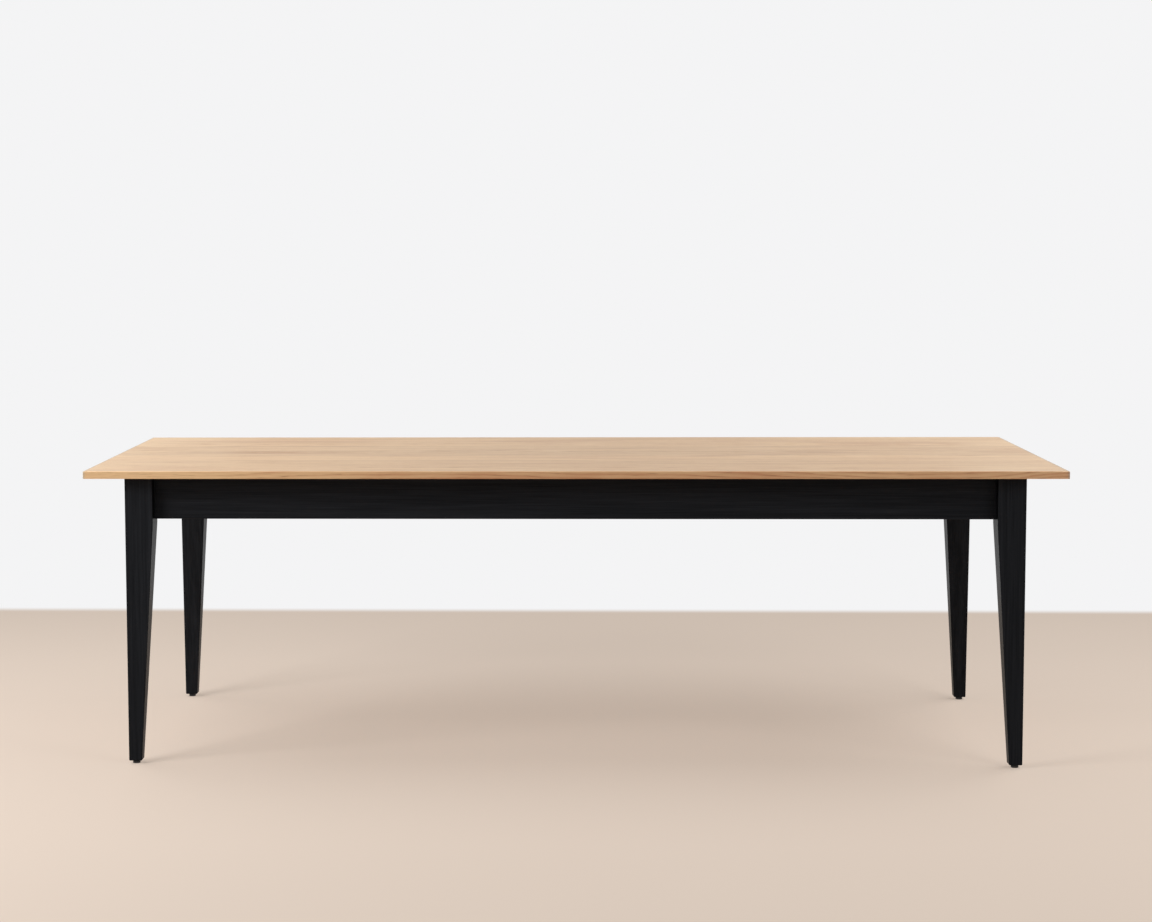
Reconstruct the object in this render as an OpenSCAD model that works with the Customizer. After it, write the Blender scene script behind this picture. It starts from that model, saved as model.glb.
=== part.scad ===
// Shaker dining table: a top glued up from oak boards, on a black base of four tapered legs that are
// bolted to four aprons through corner blocks, with a levelling foot under each leg.
// X runs along the table, Y from its front to its back and Z up from the floor. Sizes are in mm.

/* [Table] */
// Length of the top
table_length = 2438; // [1600:1:2800]
// Depth of the top, from front to back
table_depth = 1016; // [800:1:1200]
// Height of the top's upper face above the floor
table_height = 749; // [680:1:800]

/* [Top] */
// Thickness of the boards
top_thick = 19; // [16:0.5:32]
// Number of boards glued edge to edge
board_count = 7; // [3:2:9]
// Radius of the eased edges round the top
top_ease = 2; // [0.5:0.1:5]

/* [Legs] */
// Width of a leg at the aprons, the same both ways
leg_size = 70; // [62:1:90]
// Width of a leg at the floor, the same both ways
leg_foot = 33; // [28:0.5:45]
// From the end of the top to the outer face of a leg
end_overhang = 97; // [60:1:160]
// From the front or back edge of the top to the outer face of a leg
side_overhang = 40; // [20:1:80]
// Straight stretch of a leg between the aprons and its taper
leg_straight = 12; // [0:1:60]
// Flat cut across the inner corner for the bolts, measured along a face
leg_flat = 18; // [12:1:24]
// Chamfer of the four long edges, measured along a face
leg_ease = 1.2; // [0.5:0.1:3]
// Chamfer round the lower end
foot_ease = 2; // [0.5:0.1:4]

/* [Aprons] */
// Height of the aprons
apron_height = 108; // [92:1:140]
// Thickness of the aprons
apron_thick = 22; // [18:1:28]
// From the outer face of a leg to the outer face of an apron
apron_setback = 30; // [12:1:32]
// Radius of the lower edges of the aprons and rails
apron_ease = 2; // [0.5:0.1:4]

/* [Corner blocks] */
// Thickness of a block, along its bolts
block_thick = 30; // [24:1:40]
// Height of an apron left bare above and below a block
block_margin = 10; // [6:1:14]
// Gap between a leg and its block, so that the bolts draw the leg in tight
block_gap = 2; // [0.5:0.1:4]
// Thickness of the tongues that enter the aprons
tongue_thick = 6; // [4:0.5:9]
// Depth of the tongues in the aprons
tongue_depth = 8; // [4:0.5:12]
// From the front corner of a block to its tongue
tongue_inset = 7; // [3:0.5:9]
// Clearance for glue round tongues and housed ends
glue_gap = 0.1; // [0.05:0.05:0.3]

/* [Corner screws] */
// Diameter of the screws from a block into the aprons
block_screw_d = 4.5; // [3.5:0.5:6]
// Their length under the head
block_screw_length = 26; // [20:1:27]
// Wood of the block under the head
block_screw_bite = 10; // [8:0.5:11]
// From the back corner of a block to its screws
block_screw_edge = 16; // [16:0.5:18]
// Height between the two screws at one end of a block
block_screw_spacing = 56; // [40:1:60]

/* [Leg bolts] */
// Diameter of the hanger bolts
bolt_d = 8; // [6:0.5:10]
// Height between the two bolts of a leg
bolt_spacing = 44; // [30:1:48]
// Depth of a bolt in its leg
bolt_in_leg = 45; // [30:1:60]
// Bolt that stands out of its nut
bolt_end = 4; // [1:0.5:8]
// Radial clearance of a bolt in its block
bolt_clear = 0.5; // [0.2:0.1:1]
// Diameter of the washers
washer_d = 20; // [17:0.5:24]
// Thickness of the washers
washer_thick = 1.6; // [1:0.1:2.5]
// Width of the nuts across their flats
nut_width = 13; // [12:0.5:17]
// Height of the nuts
nut_height = 6.5; // [5:0.5:9]

/* [Cross rails] */
// Number of rails between the long aprons
rail_count = 3; // [1:1:5]
// Height of the rails
rail_height = 80; // [60:1:90]
// Thickness of the rails
rail_thick = 22; // [20:1:28]
// Depth that a rail's end is housed in an apron
rail_housing = 5; // [2:0.5:8]
// Angle of the pocket screws to the rail
pocket_angle = 15; // [10:1:16]
// Diameter of the pocket screws
pocket_screw_d = 4; // [3:0.5:5]
// Their length under the head
pocket_screw_length = 38; // [32:1:39]
// Distance from the apron's face to the head's seat
pocket_seat = 22; // [20:1:24]
// Height between the two pocket screws of an end
pocket_spacing = 40; // [24:1:48]

/* [Top clips] */
// Thickness of the steel
clip_thick = 2; // [1:0.1:2.5]
// Width of a clip
clip_width = 16; // [12:1:24]
// Length of a clip along the top, from the apron's face
clip_length = 24; // [20:1:30]
// Length of its tongue in the groove
clip_tongue = 8; // [5:0.5:9]
// Gap between the clip and the apron's face
clip_gap = 2; // [1:0.1:4]
// From the underside of the top to the groove
groove_drop = 9.5; // [7:0.5:14]
// Height of the groove
groove_height = 4; // [3:0.5:6]
// Depth of the groove past the tongue
groove_spare = 1; // [0.5:0.5:2]
// Diameter of the clip screws
clip_screw_d = 4; // [3:0.5:5]
// Their length under the head
clip_screw_length = 15; // [10:0.5:16]
// From the apron's face to the clip screws
clip_screw_place = 15; // [12:0.5:17]

/* [Screw heads] */
// Diameter of the heads of all wood screws
head_d = 8; // [7:0.1:9]
// Height of the heads
head_height = 2.4; // [1.5:0.1:3.5]
// Clearance round a head in its counterbore
head_clear = 0.75; // [0.3:0.05:1]
// Length of the screws' points
point_length = 4; // [2:0.5:6]

/* [Levelling feet] */
// Diameter of the pad on the floor
pad_d = 19; // [17:0.5:28]
// Height of the pad
pad_height = 5; // [4:0.5:10]
// Radius of the pad's edges
pad_ease = 0.8; // [0.3:0.1:1.5]
// Width of the hexagon across its flats
hex_width = 14; // [12:0.5:16]
// Height of the hexagon
hex_height = 3; // [2:0.5:6]
// Diameter of the stem's thread
thread_d = 8; // [6:0.5:9]
// Length of the thread
thread_length = 28; // [24:1:45]
// Diameter of the spigot that turns in the pad
spigot_d = 6; // [4:0.5:8]
// Length of the spigot
spigot_length = 3; // [2:0.1:3.5]
// Outer diameter of the insert in the leg
insert_d = 12; // [11:0.5:14]
// Length of the insert
insert_length = 18; // [12:1:22]
// Diameter of the insert's flange
flange_d = 16; // [15:0.5:20]
// Thickness of the insert's flange
flange_thick = 1.2; // [0.8:0.1:2]
// Radial clearance of the turning stem, and of each fastener in its hole
fit = 0.05; // [0.02:0.01:0.08]
// Free depth of a hole past the end of what it holds
hole_spare = 0.5; // [0.3:0.1:0.8]

/* [Hidden] */
$fn = 48;
HEX = 6;
// Reach of a cut past the face that it opens
PAST = 1;
DIAGONAL = sqrt(2);

under_top = table_height - top_thick;
apron_bottom = under_top - apron_height;
// Where the boards begin and end. The joints lie on whole tenths, so that neighbours meet face to face.
board_ys = [for (i = [0:board_count]) round(10 * i * table_depth / board_count) / 10 - table_depth / 2];

// Outer corner of a leg, measured from the middle of the table
leg_x = table_length / 2 - end_overhang;
leg_y = table_depth / 2 - side_overhang;
leg_bottom = pad_height + hex_height;
taper_top = apron_bottom - leg_straight;
foot_middle = leg_foot / 2;

// Inner faces of the aprons, from a leg's outer faces and from the middle of the table
apron_inside = apron_setback + apron_thick;
inner_x = leg_x - apron_inside;
inner_y = leg_y - apron_inside;

// A corner block lies between two planes across the corner. In the leg's own frame these are
// x + y = block_front and x + y = block_back.
block_front = 2 * leg_size - leg_flat + block_gap * DIAGONAL;
block_back = block_front + block_thick * DIAGONAL;
block_bottom = apron_bottom + block_margin;
block_height = apron_height - 2 * block_margin;
block_middle = block_bottom + block_height / 2;
block_screw_x = block_back - apron_inside - block_screw_edge;
tongue_x = block_front - apron_inside + tongue_inset;

// Distances along a leg bolt from the leg's outer corner
flat_at = (2 * leg_size - leg_flat) / DIAGONAL;
bolt_start = flat_at - bolt_in_leg;
block_back_at = block_back / DIAGONAL;
nut_at = block_back_at + washer_thick;
bolt_length = nut_at + nut_height + bolt_end - bolt_start;

rail_bay = 2 * inner_x / (rail_count + 1);
rail_xs = [for (i = [1:rail_count]) i * rail_bay - inner_x];
pocket_middle = under_top - rail_height / 2;

// Each clip has the point on the wood's face where it sits and the direction it points in
clip_xs = [for (i = [0:rail_count]) (i + 0.5) * rail_bay - inner_x];
clip_ys = [-inner_y / 2, inner_y / 2];
clip_places = concat(
    [for (x = clip_xs) [x, -inner_y, 90]],
    [for (x = clip_xs) [x, inner_y, -90]],
    [for (y = clip_ys) [-inner_x, y, 0]],
    [for (y = clip_ys) [inner_x, y, 180]],
    [for (x = rail_xs, y = clip_ys) [x + rail_thick / 2, y, 0]]
);

WOOD = "#d7bca2";
BLACK = "#1e1e20";
BIRCH = "#d9c7a0";
STEEL = "#b8bcc0";
BLACK_STEEL = "#38393b";
NYLON = "#2a2a2c";

// Name of each corner, and whether it is mirrored to the right and to the back
CORNERS = [
    ["front_left", 0, 0],
    ["front_right", 1, 0],
    ["back_left", 0, 1],
    ["back_right", 1, 1]
];
// Name of each long apron and whether it is mirrored to the back
SIDES = [["front_apron", 0], ["back_apron", 1]];
// Name of each short apron and whether it is mirrored to the right
ENDS = [["left_end_apron", 0], ["right_end_apron", 1]];

// Places

// Moves a piece from the leg's own frame, whose origin is the outer corner at the floor, to a corner
module at_corner(c) {
    mirror([c[1], 0, 0]) mirror([0, c[2], 0]) translate([-leg_x, -leg_y, 0]) children();
}

module at_corners() {
    for (c = CORNERS) at_corner(c) children();
}

// Along the two bolts of a leg, from its outer corner inwards
module at_bolts() {
    for (z = [-0.5, 0.5] * bolt_spacing)
        translate([0, 0, block_middle + z]) rotate([0, 90, 45]) children();
}

// Where the screws of a corner block meet the face of the long apron, pointing into it
module at_long_screws() {
    for (z = [-0.5, 0.5] * block_screw_spacing)
        translate([block_screw_x, apron_inside, block_middle + z]) rotate([90, 0, 0]) children();
}

// The same for both aprons of a corner
module at_block_screws() {
    at_long_screws() children();
    mirror([1, -1, 0]) at_long_screws() children();
}

// Where the pocket screws of every rail cross from rail to apron, pointing into the apron
module at_pockets() {
    for (x = rail_xs, back = [0, 1], z = [-0.5, 0.5] * pocket_spacing)
        mirror([0, back, 0])
            translate([x, -inner_y, pocket_middle + z])
                rotate([90, 0, pocket_angle]) children();
}

module at_clips() {
    for (p = clip_places) translate([p[0], p[1], under_top]) rotate(p[2]) children();
}

module at_clip_screws() {
    at_clips() translate([clip_screw_place, 0, -clip_thick]) children();
}

module at_foot() {
    translate([foot_middle, foot_middle, 0]) children();
}

// Outlines and solids that repeat

// A rectangle with all four corners rounded
module eased_rectangle(width, height, r) {
    translate([r, 0]) square([width - 2 * r, height]);
    translate([0, r]) square([width, height - 2 * r]);
    for (x = [r, width - r], y = [r, height - r]) translate([x, y]) circle(r);
}

// A board on edge, seen from its end, with its two lower corners rounded
module eased_board(thick, height, r) {
    translate([r, 0]) square([thick - 2 * r, height]);
    translate([0, r]) square([thick, height - r]);
    for (x = [r, thick - r]) translate([x, r]) circle(r);
}

// A wood screw with its head's seat at the origin and its point along +Z
module wood_screw(d, length) {
    rotate_extrude() polygon([
        [0, -head_height],
        [head_d / 3, -head_height],
        [head_d / 2, -head_height / 2],
        [head_d / 2, 0],
        [d / 2, 0],
        [d / 2, length - point_length],
        [0, length]
    ]);
}

// The hole for a screw's shank, open behind its seat
module screw_hole(d, length) {
    translate([0, 0, -PAST]) cylinder(r = d / 2 + fit, h = length + hole_spare + PAST);
}

// A cut from a screw's seat outwards that lets its head in
module head_hole(length) {
    translate([0, 0, -length]) cylinder(r = head_d / 2 + head_clear, h = length);
}

// Top

module top_slab() {
    intersection() {
        translate([-table_length / 2, table_depth / 2, under_top]) rotate([90, 0, 0])
            linear_extrude(table_depth) eased_rectangle(table_length, top_thick, top_ease);
        translate([-table_length / 2, -table_depth / 2, under_top]) rotate([90, 0, 90])
            linear_extrude(table_length) eased_rectangle(table_depth, top_thick, top_ease);
        translate([-table_length / 2, -table_depth / 2, under_top])
            linear_extrude(top_thick) eased_rectangle(table_length, table_depth, top_ease);
    }
}

module top_board(i) {
    color(WOOD) difference() {
        intersection() {
            top_slab();
            translate([-table_length / 2, board_ys[i - 1], under_top])
                cube([table_length, board_ys[i] - board_ys[i - 1], top_thick]);
        }
        at_clip_screws() screw_hole(clip_screw_d, clip_screw_length);
    }
}

// Legs

// The leg seen square to a face: its outer face is upright and its inner one tapers
module leg_face_outline() {
    taper = (leg_size - leg_foot) / (taper_top - leg_bottom);
    polygon([
        [foot_ease, leg_bottom],
        [leg_foot - foot_ease, leg_bottom],
        [leg_foot + foot_ease * taper, leg_bottom + foot_ease],
        [leg_size, taper_top],
        [leg_size, under_top],
        [0, under_top],
        [0, leg_bottom + foot_ease]
    ]);
}

// The leg seen along one diagonal, between the outer corner and the inner one. It eases these two
// edges and cuts the flat behind the corner block.
module leg_bolt_outline() {
    outer = leg_ease / DIAGONAL;
    at_foot = (2 * leg_foot - leg_ease) / DIAGONAL;
    at_apron = (2 * leg_size - leg_ease) / DIAGONAL;
    polygon([
        [outer, leg_bottom],
        [at_foot, leg_bottom],
        [at_apron, taper_top],
        [at_apron, block_bottom - PAST],
        [flat_at, block_bottom - PAST],
        [flat_at, under_top],
        [outer, under_top]
    ]);
}

// The leg seen along the other diagonal, which eases the other two edges
module leg_cross_outline() {
    at_foot = (leg_foot - leg_ease) / DIAGONAL;
    at_apron = (leg_size - leg_ease) / DIAGONAL;
    polygon([
        [-at_foot, leg_bottom],
        [at_foot, leg_bottom],
        [at_apron, taper_top],
        [at_apron, under_top],
        [-at_apron, under_top],
        [-at_apron, taper_top]
    ]);
}

module leg_blank() {
    intersection() {
        translate([0, leg_size, 0]) rotate([90, 0, 0]) linear_extrude(leg_size) leg_face_outline();
        rotate([90, 0, 90]) linear_extrude(leg_size) leg_face_outline();
        rotate([90, 0, 45]) linear_extrude(4 * leg_size, center = true) leg_bolt_outline();
        rotate([90, 0, -45]) linear_extrude(4 * leg_size, center = true) leg_cross_outline();
    }
}

module leg(c) {
    color(BLACK) at_corner(c) difference() {
        leg_blank();
        at_bolts() translate([0, 0, bolt_start - hole_spare])
            cylinder(r = bolt_d / 2 + fit, h = bolt_in_leg + hole_spare + PAST);
        at_foot() translate([0, 0, leg_bottom]) foot_hole();
    }
}

// The stepped hole for the insert and the stem, from the leg's lower end upwards
module foot_hole() {
    translate([0, 0, -PAST]) cylinder(r = flange_d / 2 + fit, h = flange_thick + PAST);
    cylinder(r = insert_d / 2 + fit, h = insert_length);
    cylinder(r = thread_d / 2 + bolt_clear, h = max(thread_length, insert_length) + hole_spare);
}

// Aprons

// The groove that holds the clips' tongues, cut in a face that looks towards +Y
module clip_groove(length) {
    depth = clip_tongue + groove_spare;
    translate([-length / 2, -depth, under_top - groove_drop - groove_height])
        cube([length, depth + PAST, groove_height]);
}

// The groove for a corner block's tongue in the long apron of a corner
module tongue_groove() {
    translate([tongue_x - glue_gap, apron_inside - tongue_depth - glue_gap, block_bottom])
        cube([tongue_thick + 2 * glue_gap, tongue_depth + glue_gap + PAST, apron_height]);
}

// The pilot holes that a corner's screws need in its two aprons
module block_screw_holes() {
    at_block_screws() screw_hole(block_screw_d, block_screw_length - block_screw_bite);
}

module long_apron(s) {
    length = 2 * (leg_x - leg_size);
    color(BLACK) mirror([0, s[1], 0]) difference() {
        translate([-length / 2, -inner_y - apron_thick, apron_bottom]) rotate([90, 0, 90])
            linear_extrude(length) eased_board(apron_thick, apron_height, apron_ease);
        translate([0, -inner_y, 0]) clip_groove(length + 2 * PAST);
        for (c = [CORNERS[0], CORNERS[1]]) at_corner(c) {
            tongue_groove();
            block_screw_holes();
        }
        for (x = rail_xs)
            translate([x - rail_thick / 2 - glue_gap, -inner_y - rail_housing, under_top - rail_height])
                cube([rail_thick + 2 * glue_gap, rail_housing + PAST, rail_height + PAST]);
        at_pockets() screw_hole(pocket_screw_d, pocket_screw_length - pocket_seat);
    }
}

module end_apron(e) {
    length = 2 * (leg_y - leg_size);
    color(BLACK) mirror([e[1], 0, 0]) difference() {
        translate([-inner_x, -length / 2, apron_bottom]) rotate([90, 0, 180])
            linear_extrude(length) eased_board(apron_thick, apron_height, apron_ease);
        translate([-inner_x, 0, 0]) rotate(-90) clip_groove(length + 2 * PAST);
        for (c = [CORNERS[0], CORNERS[2]]) at_corner(c) {
            mirror([1, -1, 0]) tongue_groove();
            block_screw_holes();
        }
    }
}

// Corner blocks

// Half of the outline, from the leg along the long apron to the back. The other half mirrors it
// across the corner's diagonal.
module block_outline() {
    half = [
        [block_front - apron_inside, apron_inside],
        [tongue_x, apron_inside],
        [tongue_x, apron_inside - tongue_depth],
        [tongue_x + tongue_thick, apron_inside - tongue_depth],
        [tongue_x + tongue_thick, apron_inside],
        [block_back - apron_inside, apron_inside]
    ];
    polygon(concat(half, [for (i = [len(half) - 1:-1:0]) [half[i][1], half[i][0]]]));
}

module corner_block(c) {
    color(BIRCH) at_corner(c) difference() {
        translate([0, 0, block_bottom]) linear_extrude(block_height) block_outline();
        at_bolts() translate([0, 0, flat_at])
            cylinder(r = bolt_d / 2 + bolt_clear, h = block_gap + block_thick + PAST);
        at_block_screws() translate([0, 0, -block_screw_bite]) {
            screw_hole(block_screw_d, block_screw_length);
            head_hole(block_thick);
        }
    }
}

// Cross rails

module cross_rail(i) {
    length = 2 * (inner_y + rail_housing);
    color(BLACK) difference() {
        translate([rail_xs[i - 1] - rail_thick / 2, length / 2, under_top - rail_height])
            rotate([90, 0, 0])
                linear_extrude(length) eased_board(rail_thick, rail_height, apron_ease);
        translate([rail_xs[i - 1] + rail_thick / 2, 0, 0]) rotate(-90) clip_groove(length + 2 * PAST);
        at_pockets() translate([0, 0, -pocket_seat]) {
            screw_hole(pocket_screw_d, pocket_screw_length);
            head_hole(rail_height);
        }
    }
}

// Fasteners

module hanger_bolts() {
    color(STEEL) at_corners() at_bolts() translate([0, 0, bolt_start]) rotate_extrude() polygon([
        [0, 0],
        [bolt_d / 2, point_length],
        [bolt_d / 2, bolt_length - bolt_d / 8],
        [3 * bolt_d / 8, bolt_length],
        [0, bolt_length]
    ]);
}

module bolt_washers() {
    color(STEEL) at_corners() at_bolts() translate([0, 0, block_back_at]) difference() {
        cylinder(d = washer_d, h = washer_thick);
        translate([0, 0, -PAST]) cylinder(r = bolt_d / 2 + bolt_clear, h = washer_thick + 2 * PAST);
    }
}

module bolt_nuts() {
    across_corners = nut_width / cos(180 / HEX);
    color(STEEL) at_corners() at_bolts() translate([0, 0, nut_at]) difference() {
        cylinder(d = across_corners, h = nut_height, $fn = HEX);
        translate([0, 0, -PAST]) cylinder(r = bolt_d / 2 + fit, h = nut_height + 2 * PAST);
    }
}

module corner_screws() {
    color(STEEL) at_corners() at_block_screws() translate([0, 0, -block_screw_bite])
        wood_screw(block_screw_d, block_screw_length);
}

module rail_screws() {
    color(STEEL) at_pockets() translate([0, 0, -pocket_seat])
        wood_screw(pocket_screw_d, pocket_screw_length);
}

// A bent strip: its tongue lies in the groove, and its other end under the top
module top_clip() {
    back = clip_gap + clip_thick;
    translate([0, clip_width / 2, 0]) rotate([90, 0, 0]) linear_extrude(clip_width) polygon([
        [-clip_tongue, -groove_drop],
        [-clip_tongue, -groove_drop - clip_thick],
        [back, -groove_drop - clip_thick],
        [back, -clip_thick],
        [clip_length, -clip_thick],
        [clip_length, 0],
        [clip_gap, 0],
        [clip_gap, -groove_drop]
    ]);
}

module top_clips() {
    color(STEEL) difference() {
        at_clips() top_clip();
        at_clip_screws() screw_hole(clip_screw_d, clip_thick);
    }
}

module clip_screws() {
    color(STEEL) at_clip_screws() wood_screw(clip_screw_d, clip_screw_length);
}

// Levelling feet

module foot_inserts() {
    color(STEEL) at_corners() at_foot() translate([0, 0, leg_bottom]) difference() {
        union() {
            cylinder(d = flange_d, h = flange_thick);
            cylinder(d = insert_d, h = insert_length);
        }
        translate([0, 0, -PAST]) cylinder(r = thread_d / 2 + fit, h = insert_length + 2 * PAST);
    }
}

// The stem turns in the pad and screws into the insert, and its hexagon is for a spanner
module foot_stem(c) {
    tip = thread_d / 8;
    across_corners = hex_width / cos(180 / HEX);
    color(BLACK_STEEL) at_corner(c) at_foot() {
        translate([0, 0, pad_height]) cylinder(d = across_corners, h = hex_height, $fn = HEX);
        rotate_extrude() polygon([
            [0, pad_height - spigot_length],
            [spigot_d / 2, pad_height - spigot_length],
            [spigot_d / 2, pad_height],
            [thread_d / 2, pad_height],
            [thread_d / 2, leg_bottom + thread_length - tip],
            [thread_d / 2 - tip, leg_bottom + thread_length],
            [0, leg_bottom + thread_length]
        ]);
    }
}

module foot_pad(c) {
    socket = spigot_length + fit;
    color(NYLON) at_corner(c) at_foot() difference() {
        rotate_extrude() intersection() {
            translate([-pad_d / 2, 0]) eased_rectangle(pad_d, pad_height, pad_ease);
            square([pad_d, pad_height]);
        }
        translate([0, 0, pad_height - socket]) cylinder(r = spigot_d / 2 + fit, h = socket + PAST);
    }
}

for (i = [1:board_count]) top_board(i);
for (s = SIDES) long_apron(s);
for (e = ENDS) end_apron(e);
for (c = CORNERS) leg(c);
for (c = CORNERS) corner_block(c);
for (i = [1:rail_count]) cross_rail(i);
hanger_bolts();
bolt_washers();
bolt_nuts();
corner_screws();
rail_screws();
top_clips();
clip_screws();
foot_inserts();
for (c = CORNERS) foot_stem(c);
for (c = CORNERS) foot_pad(c);
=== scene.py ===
import math

import bmesh
import bpy
from mathutils import Matrix, Vector


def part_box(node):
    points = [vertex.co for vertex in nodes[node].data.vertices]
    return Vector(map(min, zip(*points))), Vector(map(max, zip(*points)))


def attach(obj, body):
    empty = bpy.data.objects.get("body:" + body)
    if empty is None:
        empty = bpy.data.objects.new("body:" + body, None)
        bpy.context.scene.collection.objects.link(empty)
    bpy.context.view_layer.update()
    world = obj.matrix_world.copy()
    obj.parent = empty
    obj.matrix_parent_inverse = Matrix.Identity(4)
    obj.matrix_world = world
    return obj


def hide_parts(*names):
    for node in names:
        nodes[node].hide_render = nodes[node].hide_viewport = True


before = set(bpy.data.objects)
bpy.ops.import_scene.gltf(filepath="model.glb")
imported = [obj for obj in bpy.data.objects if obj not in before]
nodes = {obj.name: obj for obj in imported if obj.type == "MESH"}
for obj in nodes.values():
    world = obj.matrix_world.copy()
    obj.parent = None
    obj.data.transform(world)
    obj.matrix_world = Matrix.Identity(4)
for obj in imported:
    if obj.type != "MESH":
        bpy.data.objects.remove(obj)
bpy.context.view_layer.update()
print("frame loaded,", len(nodes), "nodes")

# Camera, at the photograph's place and angle

cameraSetup = {
    "place": (0.0182, -6.5350, 1.3358),
    "turn": 0.04588,  # radians to the left
    "tilt": 0.0914,  # radians down
    "roll": -0.0045,
    "lens": 76.52,  # mm
    "sensor": 36,  # mm across
    "shift": (0.0944, -0.0028),
}

bpy.ops.object.camera_add()
camera = bpy.context.object
camera.matrix_world = (
    Matrix.Translation(cameraSetup["place"])
    @ Matrix.Rotation(cameraSetup["turn"], 4, "Z")
    @ Matrix.Rotation(math.pi / 2 - cameraSetup["tilt"], 4, "X")
    @ Matrix.Rotation(cameraSetup["roll"], 4, "Z")
)
camera.data.sensor_width = cameraSetup["sensor"]
camera.data.lens = cameraSetup["lens"]
camera.data.shift_x, camera.data.shift_y = cameraSetup["shift"]
bpy.context.scene.camera = camera
bpy.context.scene.view_settings.view_transform = "Standard"
print("camera set")

# Materials


class Wire:  # the output of a node; an expression on it adds Math nodes to the same finish
    def __init__(self, finish, socket):
        self.finish = finish
        self.socket = socket

    def __add__(self, other):
        return self.finish.maths("ADD", self, other)

    def __radd__(self, other):
        return self.finish.maths("ADD", other, self)

    def __sub__(self, other):
        return self.finish.maths("SUBTRACT", self, other)

    def __rsub__(self, other):
        return self.finish.maths("SUBTRACT", other, self)

    def __mul__(self, other):
        return self.finish.maths("MULTIPLY", self, other)

    def __rmul__(self, other):
        return self.finish.maths("MULTIPLY", other, self)

    def __truediv__(self, other):
        return self.finish.maths("DIVIDE", self, other)

    def __abs__(self):
        return self.finish.maths("ABSOLUTE", self)


class Finish:  # a material or a world, and its nodes
    def __init__(self, owner):
        owner.use_nodes = True
        self.owner = owner
        self.tree = owner.node_tree

    def add(self, kind, settings, sockets, output=0):
        node = self.tree.nodes.new(kind)
        for key, value in settings.items():
            if key == "stops":
                ramp = node.color_ramp.elements
                while len(ramp) < len(value):
                    ramp.new(1)
                for stop, (place, grey) in zip(ramp, value):
                    stop.position = place
                    stop.color = (grey, grey, grey, 1)
            else:
                setattr(node, key, value)
        for key, value in sockets.items():
            self.plug(node.inputs[key], value)
        return Wire(self, node.outputs[output]) if node.outputs else None

    def plug(self, socket, value):
        if isinstance(value, Wire):
            self.tree.links.new(value.socket, socket)
        elif socket.type == "RGBA":
            socket.default_value = (*value, 1)
        else:
            socket.default_value = value

    def maths(self, operation, *values):
        return self.add("ShaderNodeMath", {"operation": operation}, dict(enumerate(values)))

    def place(self):
        return self.add("ShaderNodeTexCoord", {}, {}, "Object")

    def split(self, vector):
        parts = self.add("ShaderNodeSeparateXYZ", {}, {0: vector}).socket.node
        return [Wire(self, output) for output in parts.outputs]

    def join(self, x, y, z):
        return self.add("ShaderNodeCombineXYZ", {}, {0: x, 1: y, 2: z})

    def tint(self, vector, factors):  # each part of a colour or a place by its own factor
        return self.add("ShaderNodeVectorMath", {"operation": "MULTIPLY"}, {0: vector, 1: factors})

    def tone(self, colour, amount):  # every part by the same amount
        return self.add("ShaderNodeVectorMath", {"operation": "SCALE"}, {0: colour, "Scale": amount})

    def noise(self, vector, scales, detail=2, roughness=0.5, output="Fac"):
        stretched = self.tint(vector, scales)
        sockets = {"Vector": stretched, "Scale": 1, "Detail": detail, "Roughness": roughness}
        return self.add("ShaderNodeTexNoise", {}, sockets, output)

    def ramp(self, value, stops):
        return self.add("ShaderNodeValToRGB", {"stops": stops}, {0: value})

    def spread(self, value, low, high, to=(0, 1)):  # a soft step between two values
        sockets = {0: value, 1: low, 2: high, 3: to[0], 4: to[1]}
        return self.add("ShaderNodeMapRange", {"interpolation_type": "SMOOTHSTEP"}, sockets)

    def mix(self, share, first, second):
        return self.add("ShaderNodeMix", {"data_type": "RGBA"}, {0: share, 6: first, 7: second}, 2)

    def coat(self, colour, roughness, height, relief):  # relief: a bump's strength, and its depth in metres
        bump = {"Height": height, "Strength": relief[0], "Distance": relief[1]}
        self.plug(self.shader.inputs["Base Color"], colour)
        self.plug(self.shader.inputs["Roughness"], roughness)
        self.plug(self.shader.inputs["Normal"], self.add("ShaderNodeBump", {}, bump))


def newFinish(name, values):
    finish = Finish(bpy.data.materials.new(name))
    finish.shader = finish.tree.nodes["Principled BSDF"]
    for key, value in values.items():
        finish.plug(finish.shader.inputs[key], value)
    return finish


def named(start):
    return [name for name in nodes if name.startswith(start)]


def dress(names, finish):
    for name in names:
        slots = nodes[name].data.materials
        slots.clear()
        slots.append(finish.owner)


# Floor, lights and the pale surroundings

studio = {
    "wall": (0.905, 0.905, 0.912),  # what the camera and reflections see round the table
    "worldLight": 0.14,
    "floor": (0.80, 0.675, 0.575),
    "floorRadius": 14,
    "floorSides": 96,
    "floorEdge": (2.02, 2.14),  # metres from the middle at which the floor ends in the wall's colour
    "floorLength": 1.15,  # of the floor along the table, as a share of its depth
    "floorGlow": 0.45,  # share of the floor's own colour that no shadow reaches
    "glowLevel": 1.12,
    "lamps": [  # place, size, target, watts
        ((0, 0.3, 3.4), (4.6, 3.0), (0, 0, 0.7), 5),
        ((-2.2, 0.3, 2.6), (1.4, 2.2), (-2.2, 0.3, 0), 30),
        ((2.3, 0.3, 2.6), (1.4, 2.2), (2.3, 0.3, 0), 34),
        ((-3.3, -2.3, 2.3), (1.8, 1.6), (-0.5, 0, 0.5), 82),
        ((3.0, -2.9, 2.4), (1.8, 1.6), (0.5, 0, 0.5), 33),
    ],
}


def seenRays(finish):  # 1 for what the camera sees, also in or through a surface, and 0 for light on things
    ray = finish.add("ShaderNodeLightPath", {}, {}).socket.node.outputs
    seen = Wire(finish, ray["Is Camera Ray"])
    for name in ("Is Glossy Ray", "Is Transmission Ray"):
        seen = finish.maths("MAXIMUM", seen, Wire(finish, ray[name]))
    return seen


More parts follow.
